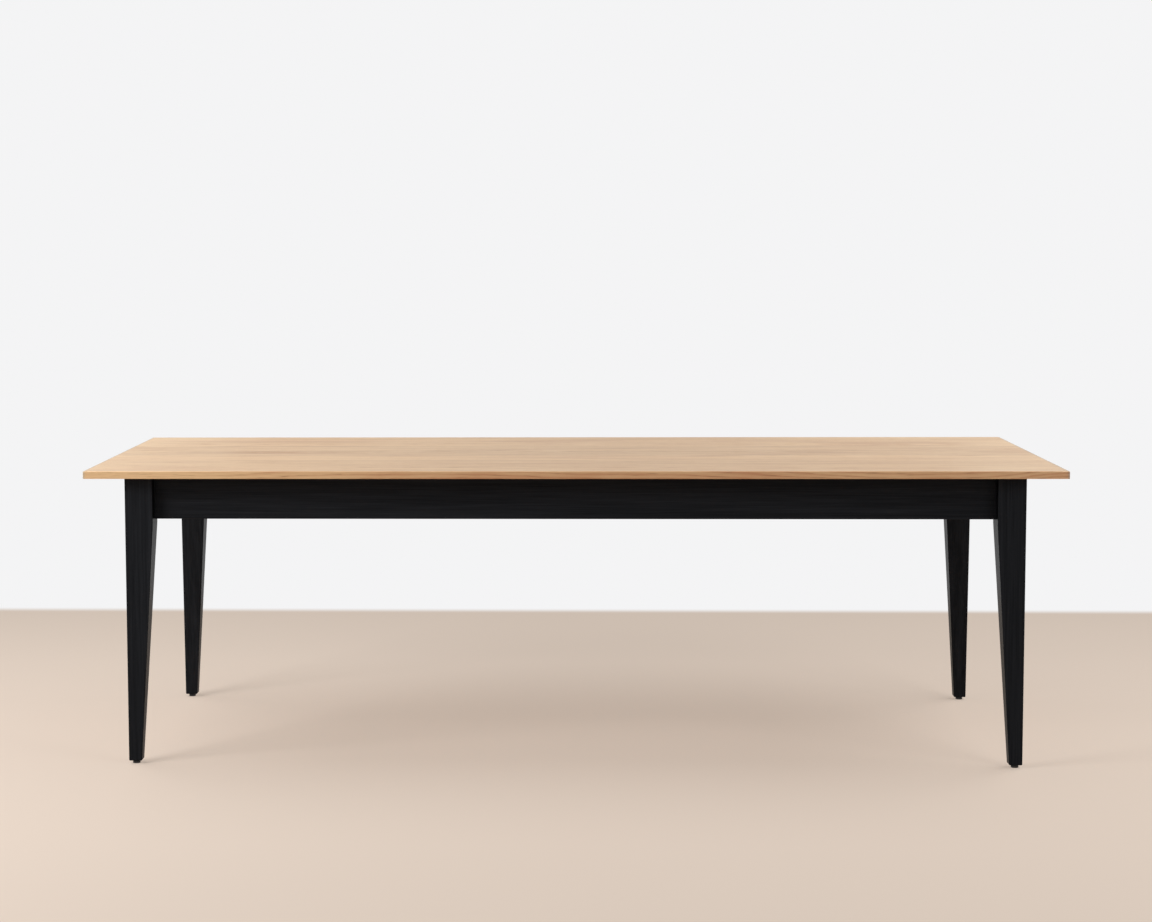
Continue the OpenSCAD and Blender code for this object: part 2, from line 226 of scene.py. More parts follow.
world = bpy.data.worlds.new("paleRoom")
bpy.context.scene.world = world
surround = Finish(world)
surround.tree.nodes.clear()
light = surround.add("ShaderNodeBackground", {}, {"Color": (1, 1, 1), "Strength": studio["worldLight"]})
wall = surround.add("ShaderNodeBackground", {}, {"Color": studio["wall"], "Strength": 1})
both = surround.add("ShaderNodeMixShader", {}, {0: seenRays(surround), 1: light, 2: wall})
surround.add("ShaderNodeOutputWorld", {}, {0: both})

bpy.ops.mesh.primitive_circle_add(
    vertices=studio["floorSides"], radius=studio["floorRadius"], fill_type="NGON"
)
floor = bpy.context.object
floor.name = "floor"
ground = Finish(bpy.data.materials.new("paleFloor"))
ground.tree.nodes.clear()
floorX, floorY = ground.split(ground.place())[:2]
fromTable = ground.maths("MAXIMUM", abs(floorX) / studio["floorLength"], abs(floorY))
far = ground.spread(fromTable, *studio["floorEdge"])
seen = seenRays(ground)
lit = ground.add("ShaderNodeBsdfDiffuse", {}, {"Color": studio["floor"]})
plain = ground.add("ShaderNodeEmission", {}, {"Color": studio["floor"], "Strength": studio["glowLevel"]})
middle = ground.add("ShaderNodeMixShader", {}, {0: studio["floorGlow"] * seen, 1: lit, 2: plain})
glow = ground.add("ShaderNodeEmission", {}, {"Color": studio["wall"], "Strength": 1})
laid = ground.add("ShaderNodeMixShader", {}, {0: far * seen, 1: middle, 2: glow})
clear = ground.add("ShaderNodeBsdfTransparent", {}, {})  # from below, so that the feet can be seen
below = ground.add("ShaderNodeNewGeometry", {}, {}, "Backfacing")
shown = ground.add("ShaderNodeMixShader", {}, {0: below * seen, 1: laid, 2: clear})
ground.add("ShaderNodeOutputMaterial", {}, {0: shown})
floor.data.materials.append(ground.owner)

for place, size, target, watts in studio["lamps"]:
    bpy.ops.object.light_add(type="AREA", location=place)
    lamp = bpy.context.object
    aim = [b - a for a, b in zip(place, target)]
    across = math.hypot(aim[0], aim[1])
    lamp.rotation_euler = (math.atan2(across, -aim[2]), 0, math.atan2(-aim[0], aim[1]))
    lamp.data.shape = "RECTANGLE"
    lamp.data.size, lamp.data.size_y = size
    lamp.data.energy = watts
    lamp.visible_camera = False
print("floor and lights set")

# Oak of the top: each board is cut from its own place in a log, whose rings run round a pith line below it

oak = {
    "light": (0.755, 0.495, 0.262),
    "dark": (0.53, 0.285, 0.125),
    "edgeDark": (0.54, 0.248, 0.118),  # redder, on the long edges
    "pore": (0.24, 0.12, 0.05),
    "poreShare": 0.5,
    "seam": (0.20, 0.11, 0.055),
    "seamShare": 0.6,
    "seed": (1.37, 4.2),  # a board's chances come from its count times the first, plus the second
    "apart": (61, 17),  # metres that a board's place in the log may move by chance, along and across
    "pithWander": (0.8, 2.5, 2.5),
    "pithAside": (0.14, 0.09),  # from under a board's middle: by chance, and as it wanders
    "pithBelow": (0.012, 0.075, 0.05, 0.06),  # the top: at least, by chance, as it slopes, as it wanders
    "ring": 0.0042,  # width of a year's growth
    "shortWaves": (14, 190, 190),
    "longWaves": (2.2, 30, 30),
    "waviness": (0.55, 2.2),  # in rings, of the short waves and the long ones
    "year": [(0, 1), (0.28, 0.55), (0.5, 0.12), (0.93, 0.3), (1, 1)],  # early wood through a ring
    "pores": (26, 820, 820),
    "poreBand": (0.58, 0.68),
    "poreYear": (0.85, 0.15),  # pores in early wood alone, and in all wood
    "streaks": (2.4, 0.17, 7.3),  # scales along a board, across its rings and from board to board
    "clouds": (1.1, 9, 9),
    "darkness": (0.42, 1.9, 0.9),  # what the rings, streaks and clouds add
    "lightness": 1.24,  # and what is taken off
    "edgeStreaks": 0.5,  # streaks taken off on the long edges
    "edgeToneAndShade": (0.05, 0.55),  # darkness added on the long edges, at their left ends and to the right: partly a browner tone of the wood, partly painted shade away from the light at the left
    "edgeToneAndShadeBand": (-0.95, -0.02),
    "edgeBand": (0.0016, 0.0004),  # from the long edges, over which their own colour sets in
    "seamBand": (0.004, 0.002),  # from the long edges, over which the joints' dark lines stop
    "seamWidth": (0.0001, 0.0005),  # from a joint, over which its dark line fades
    "arris": 0.0022,  # width of the paler edges along the long arrises, a painted highlight
    "endGrain": (0.80, 0.92, 1.15),  # tint of the last millimetres of the boards
    "endBand": (0.0065, 0.0035),  # from the boards' ends
    "endSheenTint": (1.03, 1.08, 1.16),  # tint of the top towards its two ends, a painted sheen
    "endSheenBand": (0.75, 1.1),  # from the table's middle
    "tones": (0.93, 0.14, 0.06, 0.2),  # of all, and what chance, clouds and the painted arris highlight add
    "roughness": (0.38, 0.08, 0.15),  # of all, and what early wood and pores add
    "earlyDepth": 0.25,  # of the hollows in early wood, as a share of the pores'
    "relief": (0.35, 0.0002),
}

boards = named("top_board")
halfLength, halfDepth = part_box("top_board_7")[1].xy
boardDepth = 2 * halfDepth / len(boards)
underFace, topFace = (corner.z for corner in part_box("top_board_1"))


def makeOak():
    finish = newFinish("oakBoards", {})
    x, y, z = finish.split(finish.place())

    def nearFace(fromMiddle, face, band):
        return finish.spread(fromMiddle, face - band[0], face - band[1])

    # a board's place in the log
    across = (y + halfDepth) / boardDepth
    board = finish.maths("MAXIMUM", finish.maths("FLOOR", across), 0)
    board = finish.maths("MINIMUM", board, len(boards) - 1)
    seed = board * oak["seed"][0] + oak["seed"][1]
    chance = finish.add("ShaderNodeTexWhiteNoise", {"noise_dimensions": "1D"}, {"W": seed}, "Color")
    chanceX, chanceY, chanceZ = finish.split(chance)
    apartX, apartY = oak["apart"]
    log = finish.join(x + chanceX * apartX, y + chanceY * apartY, z)

    # rings, by their distance from the pith
    wander = finish.split(finish.noise(log, oak["pithWander"], roughness=0.45, output="Color"))
    asideChance, asideWander = oak["pithAside"]
    side = y - (board + 0.5) * boardDepth + halfDepth
    side = side + (chanceX - 0.5) * asideChance + (wander[0] - 0.5) * asideWander
    least, belowChance, slope, belowWander = oak["pithBelow"]
    depth = topFace - z + least + chanceY * belowChance
    depth = depth + (chanceZ - 0.5) * slope * x + (wander[1] - 0.5) * belowWander
    fromPith = {0: finish.join(side, depth, 0)}
    radius = finish.add("ShaderNodeVectorMath", {"operation": "LENGTH"}, fromPith, "Value")
    shortWaviness, longWaviness = oak["waviness"]
    rings = radius / oak["ring"] + finish.noise(log, oak["shortWaves"]) * shortWaviness
    rings = rings + finish.noise(log, oak["longWaves"]) * longWaviness
    early = finish.ramp(finish.maths("FRACT", rings), oak["year"])

    # pores, streaks that follow the rings, and clouds
    pores = finish.spread(finish.noise(log, oak["pores"], detail=1), *oak["poreBand"])
    pores = pores * (early * oak["poreYear"][0] + oak["poreYear"][1])
    streakX, streakRings, streakBoards = oak["streaks"]
    along = finish.join(x * streakX + chanceX * apartX, rings * streakRings, board * streakBoards)
    streaks = finish.noise(along, (1, 1, 1), detail=4, roughness=0.62)
    clouds = finish.noise(log, oak["clouds"], detail=3)

    # colour of the wood with painted shade along the long edges, then the joints, the ends with their
    # painted sheen and end grain, and the painted highlight on the arrises
    edge = nearFace(abs(y), halfDepth, oak["edgeBand"])
    # the long edges darken from the left end to the middle: partly browner wood, partly painted shade
    edgeToneAndShade = finish.spread(x + 0.5 * clouds, *oak["edgeToneAndShadeBand"], oak["edgeToneAndShade"])
    ringDark, streakDark, cloudDark = oak["darkness"]
    grain = early * ringDark + streaks * (streakDark - oak["edgeStreaks"] * edge)
    grain = grain + clouds * cloudDark - oak["lightness"] + edge * edgeToneAndShade
    dark = finish.mix(edge, oak["dark"], oak["edgeDark"])
    colour = finish.mix(finish.spread(grain, 0, 1), oak["light"], dark)
    colour = finish.mix(pores * oak["poreShare"], colour, oak["pore"])
    fromSeam = abs(across - finish.maths("ROUND", across)) * boardDepth
    inside = 1 - nearFace(abs(y), halfDepth, oak["seamBand"])
    seam = (1 - finish.spread(fromSeam, *oak["seamWidth"])) * inside
    colour = finish.mix(seam * oak["seamShare"], colour, oak["seam"])
    # painted sheen: the top turns paler and greyer towards its ends, where it catches more light
    pale = finish.spread(abs(x), *oak["endSheenBand"]) * (1 - edge)
    colour = finish.mix(pale, colour, finish.tint(colour, oak["endSheenTint"]))
    endGrain = nearFace(abs(x), halfLength, oak["endBand"])
    colour = finish.mix(endGrain, colour, finish.tint(colour, oak["endGrain"]))
    # painted highlight: a paler line along the long arrises, where they catch the light
    arris, halfArris = oak["arris"], 0.5 * oak["arris"]
    fromFaces = finish.maths("MINIMUM", topFace - z, z - underFace)
    arrisHighlight = nearFace(abs(y), halfDepth, (arris, halfArris))
    arrisHighlight = arrisHighlight * (1 - finish.spread(fromFaces, halfArris, arris))
    tone, chanceTone, cloudTone, arrisHighlightTone = oak["tones"]
    tone = tone + chanceTone * chanceZ + cloudTone * clouds + arrisHighlightTone * arrisHighlight

    smooth, earlyRough, poreRough = oak["roughness"]
    roughness = smooth + earlyRough * early + poreRough * pores
    height = -oak["earlyDepth"] * early - pores
    finish.coat(finish.tone(colour, tone), roughness, height, oak["relief"])
    return finish


dress(boards, makeOak())

# Black lacquer of the base: the grain runs along each piece and just shows

lacquer = {
    "colour": (0.0148, 0.0160, 0.0188),
    "tones": (-0.2, 2.4),  # of all, and what the grain adds
    "fineGrain": (7, 420, 420),
    "broadGrain": (1.6, 75, 75),
    "sheen": 0.016,  # specular level
    "roughness": (0.25, 0.14),  # of all, and what the grain adds
    "relief": (0.3, 0.0003),
    "joint": 0.25,  # share of the colour that is left on the legs' inner faces beside the aprons, a painted shade for those corners
    "cornerShadeBand": (-0.0008, -0.0002),  # from the aprons' ends, over which that sets in
    "jointFade": 0.001,  # and over the aprons' lower edges
}
apronEnd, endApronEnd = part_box("front_apron")[1].x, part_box("left_end_apron")[1].y
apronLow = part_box("front_apron")[0].z


def makeLacquer(name, order, joint=False):  # order: the axis along the grain, and the two across it; the last argument paints shade on the legs beside the aprons
    finish = newFinish(name, {"Specular IOR Level": lacquer["sheen"]})
    parts = finish.split(finish.place())
    place = finish.join(*[parts[i] for i in order])
    fine = finish.noise(place, lacquer["fineGrain"])
    broad = finish.noise(place, lacquer["broadGrain"], detail=3, roughness=0.55)
    grain = 0.5 * fine + 0.5 * broad
    base, grainTone = lacquer["tones"]
    tone = grainTone * grain + base
    # painted shade: the legs' inner faces next to the aprons' ends are darkened where the corner's shadow
    # falls
    if joint:
        x, y, z = parts
        past = finish.maths("MAXIMUM", apronEnd - abs(x), endApronEnd - abs(y))
        cornerShadeMask = finish.spread(past, *lacquer["cornerShadeBand"])
        cornerShadeMask = cornerShadeMask * finish.spread(z, apronLow, apronLow + lacquer["jointFade"])
        tone = tone * (1 - (1 - lacquer["joint"]) * cornerShadeMask)
    smooth, grainRough = lacquer["roughness"]
    colour = finish.tone(lacquer["colour"], tone)
    finish.coat(colour, smooth + grainRough * grain, grain, lacquer["relief"])
    return finish


dress(["front_apron", "back_apron"], makeLacquer("blackLacquerLong", (0, 1, 2)))
dress(
    ["left_end_apron", "right_end_apron", *named("cross_rail")],
    makeLacquer("blackLacquerCross", (1, 0, 2)),
)
dress(named("leg_"), makeLacquer("blackLacquerLegs", (2, 0, 1), True))

# Birch of the corner blocks, planed and bare

birch = {
    "light": (0.66, 0.50, 0.32),
    "dark": (0.50, 0.35, 0.20),
    "grain": (55, 55, 3),
    "fineGrain": (700, 700, 22),
    "shares": (0.8, 0.25),  # of the grain and the fine grain
    "band": (0.3, 0.75),  # of their sum, from light to dark
    "roughness": 0.6,
    "relief": (0.3, 0.0002),
}


def makeBirch():
    finish = newFinish("birchBlocks", {})
    place = finish.place()
    grain = finish.noise(place, birch["grain"], detail=4, roughness=0.6)
    fine = finish.noise(place, birch["fineGrain"], detail=1)
    grainShare, fineShare = birch["shares"]
    dark = finish.spread(grain * grainShare + fine * fineShare, *birch["band"])
    colour = finish.mix(dark, birch["light"], birch["dark"])
    finish.coat(colour, birch["roughness"], fine, birch["relief"])
    return finish


dress(named("corner_block"), makeBirch())

# Zinc plated steel of the fasteners, bright, and black on the stems of the feet

steel = {
    "zinc": (0.58, 0.59, 0.60),
    "zincRoughness": 0.24,
    "black": (0.045, 0.046, 0.050),
    "blackRoughness": 0.32,
    "bloom": (160, 160, 160),  # clouds in the plating
    "scuffs": (900, 900, 900),
    "tones": (0.8, 0.35),  # of all, and what the clouds add
    "rougher": (0.16, 0.08),  # what the clouds and the scuffs add
    "relief": (0.1, 0.0001),
}


def makeSteel(name, colour, smooth):
    finish = newFinish(name, {"Metallic": 1})
    place = finish.place()
    bloom = finish.noise(place, steel["bloom"], detail=3, roughness=0.6)
    scuffs = finish.noise(place, steel["scuffs"], roughness=0.6)
    tone, bloomTone = steel["tones"]
    bloomRough, scuffRough = steel["rougher"]
    roughness = smooth + bloomRough * bloom + scuffRough * scuffs
    finish.coat(finish.tone(colour, tone + bloomTone * bloom), roughness, scuffs, steel["relief"])
    return finish


zincSteel = makeSteel("zincSteel", steel["zinc"], steel["zincRoughness"])
blackSteel = makeSteel("blackSteel", steel["black"], steel["blackRoughness"])

# Black nylon of the pads

nylon = {
    "colour": (0.017, 0.017, 0.018),
    "grit": (1600, 1600, 1600),
    "tones": (0.8, 0.4),  # of all, and what the grit adds
    "roughness": (0.42, 0.16),  # the same
    "relief": (0.15, 0.0001),
}


def makeNylon():
    finish = newFinish("blackNylon", {})
    grit = finish.noise(finish.place(), nylon["grit"], roughness=0.6)
    tone, gritTone = nylon["tones"]
    smooth, gritRough = nylon["roughness"]
    colour = finish.tone(nylon["colour"], tone + gritTone * grit)
    finish.coat(colour, smooth + gritRough * grit, grit, nylon["relief"])
    return finish


dress(named("foot_pad"), makeNylon())
print("materials made")

# Fasteners and feet: each is modelled once, upright on the origin, and copied to its places

modelling = {
    "near": 0.0001,  # metres within which a corner counts as being at a place
    "atEnd": 0.00001,  # the same, at the end of a thread
    "threadWeld": 0.000002,  # metres within which corners are merged
    "pieceWeld": 0.000004,
    "cutWeld": 0.0000001,
    "spareTurns": 3,  # of a thread, which its cuts take off
    "turnsBelow": 1.6,
    "spare": 0.001,  # by which a form runs past the face that it cuts or joins
    "rootFit": (0.96, 0.9),  # of a thread's root, where a plain form ends inside it: snug, and drawn in
    "arrisSegments": 2,
    "arrisAngle": math.radians(50),
    "smoothAngle": math.radians(32),
}


def pick(piece, kind, test):  # selects, in edit mode, what passes the test
    bpy.ops.mesh.select_mode(type=kind)
    bpy.ops.mesh.select_all(action="DESELECT")
    shape = bmesh.from_edit_mesh(piece.data)
    for part in {"VERT": shape.verts, "EDGE": shape.edges, "FACE": shape.faces}[kind]:
        part.select_set(test(part))
    shape.select_flush_mode()
    bmesh.update_edit_mesh(piece.data)


def startEdit(name):  # renames the new primitive and opens it
    piece = bpy.context.object
    piece.name = piece.data.name = name
    bpy.ops.object.mode_set(mode="EDIT")
    bpy.ops.mesh.select_mode(type="VERT")
    return piece


def endEdit(piece):
    bpy.ops.mesh.select_all(action="SELECT")
    bpy.ops.mesh.normals_make_consistent()
    bpy.ops.object.mode_set(mode="OBJECT")
    bpy.ops.object.transform_apply()
    return piece


def pulled(move):  # extrudes what is selected
    bpy.ops.mesh.extrude_region_move(TRANSFORM_OT_translate={"value": move})


def turned(name, sides, rings):  # a closed round piece; rings: radius and height, from one end to the other
    radius, height = rings[0]
    bpy.ops.object.select_all(action="DESELECT")
    bpy.ops.mesh.primitive_circle_add(
        vertices=sides, radius=radius, location=(0, 0, height), fill_type="NGON"
    )
    piece = startEdit(name)
    for nextRadius, nextHeight in rings[1:]:
        pulled((0, 0, nextHeight - height))
        grow = nextRadius / radius
        bpy.ops.transform.resize(value=(grow, grow, 1), center_override=(0, 0, 0))
        radius, height = nextRadius, nextHeight
    return endEdit(piece)


def threaded(name, thread, low, high):  # a closed length of screw thread
    root, outer, pitch = thread["root"], thread["outer"], thread["pitch"]
    bpy.ops.object.select_all(action="DESELECT")
    bpy.ops.mesh.primitive_plane_add(size=pitch, location=(root, 0, 0))
    piece = startEdit(name)
    bpy.ops.mesh.merge(type="CENTER")
    last = (root, 0)
    for share, radius in zip(thread["shares"], (root, outer, outer, root)):
        pulled((radius - last[0], 0, (share - last[1]) * pitch))
        last = (radius, share)
    bpy.ops.object.mode_set(mode="OBJECT")
    bpy.ops.object.transform_apply()
    winding = piece.modifiers.new("winding", "SCREW")
    winding.screw_offset = pitch
    winding.iterations = math.ceil((high - low) / pitch) + modelling["spareTurns"]
    winding.steps = winding.render_steps = thread["sides"]
    bpy.ops.object.modifier_apply(modifier="winding")
    bpy.ops.object.mode_set(mode="EDIT")
    bpy.ops.mesh.select_all(action="SELECT")
    bpy.ops.mesh.remove_doubles(threshold=modelling["threadWeld"])
    bpy.ops.transform.translate(value=(0, 0, low - modelling["turnsBelow"] * pitch))
    cut = {"plane_no": (0, 0, 1), "use_fill": True, "threshold": modelling["cutWeld"]}
    bpy.ops.mesh.bisect(plane_co=(0, 0, low), clear_inner=True, **cut)
    bpy.ops.mesh.select_all(action="SELECT")
    bpy.ops.mesh.bisect(plane_co=(0, 0, high), clear_outer=True, **cut)
    return endEdit(piece)


def narrowed(piece, end, length, share):  # draws a thread's end in, to a share of its width
    bpy.ops.object.mode_set(mode="EDIT")
    pick(piece, "VERT", lambda spot: abs(spot.co.z - end) < modelling["atEnd"])
    bpy.ops.transform.resize(
        value=(share, share, 1),
        center_override=(0, 0, end),
        use_proportional_edit=True,
        proportional_edit_falloff="LINEAR",
        proportional_size=length,
    )
    bpy.ops.object.mode_set(mode="OBJECT")
    return piece


def fused(piece, other, operation="UNION"):  # the other piece is used up
    bpy.ops.object.select_all(action="DESELECT")
    bpy.context.view_layer.objects.active = piece
    cut = piece.modifiers.new("cut", "BOOLEAN")
    cut.operation = operation
    cut.object = other
    bpy.ops.object.modifier_apply(modifier="cut")
    bpy.data.objects.remove(other)
    return piece


def eased(piece, width):  # takes the sharpness off a piece's edges
    arris = piece.modifiers.new("arris", "BEVEL")
    arris.width = width
    arris.segments = modelling["arrisSegments"]
    arris.angle_limit = modelling["arrisAngle"]
    bpy.ops.object.modifier_apply(modifier="arris")
    return piece


hexChamfer = {"start": 0.47, "slope": math.radians(30)}  # radius it starts at, as a share of the width


def hexagon(name, width, low, high):  # a spanner hexagon with both of its ends chamfered
    corner = width / math.sqrt(3)
    flat = hexChamfer["start"] * width
    rise = (corner - flat) * math.tan(hexChamfer["slope"])
    blank = turned(name, 6, [(corner, low), (corner, high)])
    cone = [(flat, low), (corner, low + rise), (corner, high - rise), (flat, high)]
    return fused(blank, turned("chamfer", 72, cone), "INTERSECT")


def aimed(place, direction, turn=0):  # the spot of a piece whose Z axis points along the direction
    track = Vector(direction).to_track_quat("Z", "Y").to_matrix().to_4x4()
    return Matrix.Translation(place) @ track @ Matrix.Rotation(turn, 4, "Z")


# Copies the master to its spots as one piece, which stands for a node and rides on a body
def fitted(name, master, spots, node, body, finish):
    bpy.ops.object.select_all(action="DESELECT")
    bpy.context.view_layer.objects.active = master
    bpy.ops.object.mode_set(mode="EDIT")
    bpy.ops.mesh.select_all(action="SELECT")
    bpy.ops.mesh.remove_doubles(threshold=modelling["pieceWeld"])
    bpy.ops.object.mode_set(mode="OBJECT")
    for spot in spots:
        copy = master.copy()
        copy.data = master.data.copy()
        bpy.context.collection.objects.link(copy)
        copy.matrix_world = spot
        copy.select_set(True)
        bpy.context.view_layer.objects.active = copy
    if len(spots) > 1:
        bpy.ops.object.join()
    piece = bpy.context.object
    piece.name = piece.data.name = name
    bpy.ops.object.transform_apply()
    bpy.ops.object.shade_smooth_by_angle(angle=modelling["smoothAngle"])
    piece.data.materials.clear()
    piece.data.materials.append(finish.owner)
    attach(piece, body)
    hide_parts(node)


def fittedZinc(name, master, spots, node):  # a fastener of the table itself; the master is used up
    fitted(name, master, spots, node, "table", zincSteel)
    bpy.data.objects.remove(master)


# Where things are, from the same sizes as the solids, in metres

joinery = {
    "apronInside": 0.052,  # from a leg's outer face to an apron's inner face
    "screwAlong": 0.0992548,  # from a leg's outer corner to the screws of its corner block
    "screwBite": 0.010,  # block under the heads of those screws
    "screwHeights": (0.648, 0.704),
    "boltHeights": (0.654, 0.698),
    "boltStart": 0.0412670,  # along a bolt, from the leg's outer corner
    "washerAt": 0.1182670,
    "railEvery": 0.535,
    "pocketHeights": (0.670, 0.710),
    "pocketAngle": math.radians(15),
    "pocketSeat": 0.022,
    "clipRow": 0.208,  # of the clips on the end aprons and rails, from the table's middle
    "clipScrew": 0.015,  # from the wood's face to a clip's screw
    "railHalf": 0.011,
    "footIn": 0.0165,  # from a leg's outer faces to the middle of its foot
}
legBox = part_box("leg_front_right")
legX, legY, underTop = legBox[1].x, -legBox[0].y, legBox[1].z
legFoot = legBox[0].z
innerX, innerY = legX - joinery["apronInside"], legY - joinery["apronInside"]
corners = {
    "front_left": (-1, -1),
    "front_right": (1, -1),
    "back_left": (-1, 1),
    "back_right": (1, 1),
}

# Wood screws: pan heads with a cross recess for the blocks and clips, and washer heads with a square
# one for the rails

woodScrew = {
    "blockScrew": (0.0045, 0.026, 0.0008),  # diameter, length, and plain length under the head
    "railScrew": (0.004, 0.038, 0.009),
    "clipScrew": (0.004, 0.015, 0.0008),
    "turn": 2.4,  # radians from one screw's recess to the next one's
    "head": 0.004,
    "headHeight": 0.0024,
    "headSides": 28,
    "pan": [  # rings from its outer face inwards, as shares of the head's radius and height
        (0.2, 1), (0.5, 0.97), (0.74, 0.86), (0.9, 0.68), (0.98, 0.45), (1, 0.25), (1, 0.06), (0.97, 0),
    ],
    "washer": [
        (0.3, 1), (0.56, 0.96), (0.66, 0.82), (0.69, 0.42), (0.96, 0.36), (1, 0.28), (1, 0.06), (0.97, 0),
    ],
    "rootShare": 0.64,
    "pitchShare": 0.45,  # of the diameter
    "threadShares": (0.48, 0.70, 0.78, 1),  # of a turn, where the thread rises, is full, and has fallen
    "point": (0.004, 0.06),  # its length, and the share of the width at its end
    "neckShare": 1.22,  # of the root
    "neckInHead": 0.4,  # of the head's height
    "neckRunOut": 0.3,  # of the neck's radius
    "recess": 0.0044,  # width of the cross
    "recessWing": 0.00105,
    "recessDepth": 0.0017,
    "square": 0.0027,
    "squareDepth": 0.0019,
    "recessTaper": (0.3, 0.62),  # widths at the foot of a recess, as shares
}


def makeHead(kind):
    r, h = woodScrew["head"], woodScrew["headHeight"]
    rings = [(radius * r, -height * h) for radius, height in woodScrew[kind]]
    return turned(kind + "Head", woodScrew["headSides"], rings)


def recessTool(long, wide, depth):  # a tapered bar that stands out of the head's top
    top = -woodScrew["headHeight"]
    size = 2 * depth
    bpy.ops.object.select_all(action="DESELECT")
    bpy.ops.mesh.primitive_cube_add(size=size, location=(0, 0, top))
    piece = startEdit("recessTool")
    bpy.ops.transform.resize(value=(long / size, wide / size, 1), center_override=(0, 0, top))
    pick(piece, "FACE", lambda face: face.normal.z > 0.9)
    bpy.ops.transform.resize(value=(*woodScrew["recessTaper"], 1), center_override=(0, 0, top))
    return endEdit(piece)


def makeWoodScrew(name, kind):
    diameter, length, shank = woodScrew[name]
    thread = {
        "outer": diameter / 2,
        "root": diameter / 2 * woodScrew["rootShare"],
        "pitch": diameter * woodScrew["pitchShare"],
        "shares": woodScrew["threadShares"],
        "sides": 12,
    }
    screw = threaded(name, thread, shank, length)
    narrowed(screw, length, *woodScrew["point"])
    neck, drawnIn = thread["root"] * woodScrew["neckShare"], modelling["rootFit"][1]
    rings = [
        (neck, -woodScrew["neckInHead"] * woodScrew["headHeight"]),
        (neck, shank),
        (drawnIn * thread["root"], shank + woodScrew["neckRunOut"] * neck),
    ]
    fused(screw, turned("neck", 16, rings))
    fused(screw, makeHead(kind))
    if kind == "washer":
        tool = recessTool(woodScrew["square"], woodScrew["square"], woodScrew["squareDepth"])
        return fused(screw, tool, "DIFFERENCE")
    for turn in (0, math.pi / 2):
        tool = recessTool(woodScrew["recess"], woodScrew["recessWing"], woodScrew["recessDepth"])
        tool.rotation_euler.z = turn
        bpy.context.view_layer.update()
        fused(screw, tool, "DIFFERENCE")
    return screw


def screwSpots(aims):  # each screw stopped at another turn
    return [aimed(place, direction, woodScrew["turn"] * i) for i, (place, direction) in enumerate(aims)]


seat, out = joinery["apronInside"] + joinery["screwBite"], joinery["screwAlong"]
aims = []
for side, end in corners.values():
    for height in joinery["screwHeights"]:
        aims.append(((side * (legX - out), end * (legY - seat), height), (0, end, 0)))
        aims.append(((side * (legX - seat), end * (legY - out), height), (side, 0, 0)))
fittedZinc("cornerScrews", makeWoodScrew("blockScrew", "pan"), screwSpots(aims), "corner_screws")
print("corner screws made")

sine, cosine = math.sin(joinery["pocketAngle"]), math.cos(joinery["pocketAngle"])
back = joinery["pocketSeat"]
aims = []
for step in (-1, 0, 1):
    for end in (-1, 1):
        for height in joinery["pocketHeights"]:
            place = (step * joinery["railEvery"] - back * sine, end * (innerY - back * cosine), height)
            aims.append((place, (sine, end * cosine, 0)))
fittedZinc("railScrews", makeWoodScrew("railScrew", "washer"), screwSpots(aims), "rail_screws")
print("rail screws made")

# Clips: strips of steel with two bends, one end in a groove of the wood and the other under the top

clip = {
    "thick": 0.002,
    "width": 0.016,
    "reach": 0.024,  # along the top, from the wood's face
    "tongue": 0.008,  # in the groove
    "upright": 0.003,  # middle of the upright strip, from the wood's face
    "drop": 0.0105,  # middle of the tongue, under the top
    "bend": 0.0017,
    "corner": 0.0025,
    "roundSegments": 5,
    "hole": 0.00205,
    "arris": 0.00018,
}


def isClipEnd(spot):
    return min(abs(spot.co.x - end) for end in (-clip["tongue"], clip["reach"])) < modelling["near"]


def isClipBend(edge):
    first, second = (spot.co for spot in edge.verts)
    upright = all(abs(place.x - clip["upright"]) < modelling["near"] for place in (first, second))
    return upright and abs(first.y - second.y) > clip["width"] / 2


def makeClip():
    middle = clip["width"] / 2 - clip["tongue"]
    bpy.ops.object.select_all(action="DESELECT")
    bpy.ops.mesh.primitive_plane_add(size=clip["width"], location=(middle, 0, -clip["drop"]))
    piece = startEdit("topClip")
    pick(piece, "EDGE", lambda edge: all(spot.co.x > 0 for spot in edge.verts))
    bpy.ops.transform.translate(value=(clip["upright"] + clip["tongue"] - clip["width"], 0, 0))
    pulled((0, 0, clip["drop"] - clip["thick"] / 2))
    pulled((clip["reach"] - clip["upright"], 0, 0))
    bpy.ops.object.mode_set(mode="OBJECT")
    bpy.ops.object.transform_apply()
    bpy.ops.object.mode_set(mode="EDIT")
    pick(piece, "VERT", isClipEnd)
    bpy.ops.mesh.bevel(offset=clip["corner"], segments=clip["roundSegments"], affect="VERTICES")
    pick(piece, "EDGE", isClipBend)
    bpy.ops.mesh.bevel(offset=clip["bend"], segments=clip["roundSegments"])
    endEdit(piece)
    sheet = piece.modifiers.new("sheet", "SOLIDIFY")
    sheet.thickness = clip["thick"]
    sheet.offset = 0
    bpy.ops.object.modifier_apply(modifier="sheet")
    hole = turned("hole", 32, [(clip["hole"], -2 * clip["thick"]), (clip["hole"], clip["thick"])])
    hole.location.x = joinery["clipScrew"]
    bpy.context.view_layer.update()
    fused(piece, hole, "DIFFERENCE")
    return eased(piece, clip["arris"])


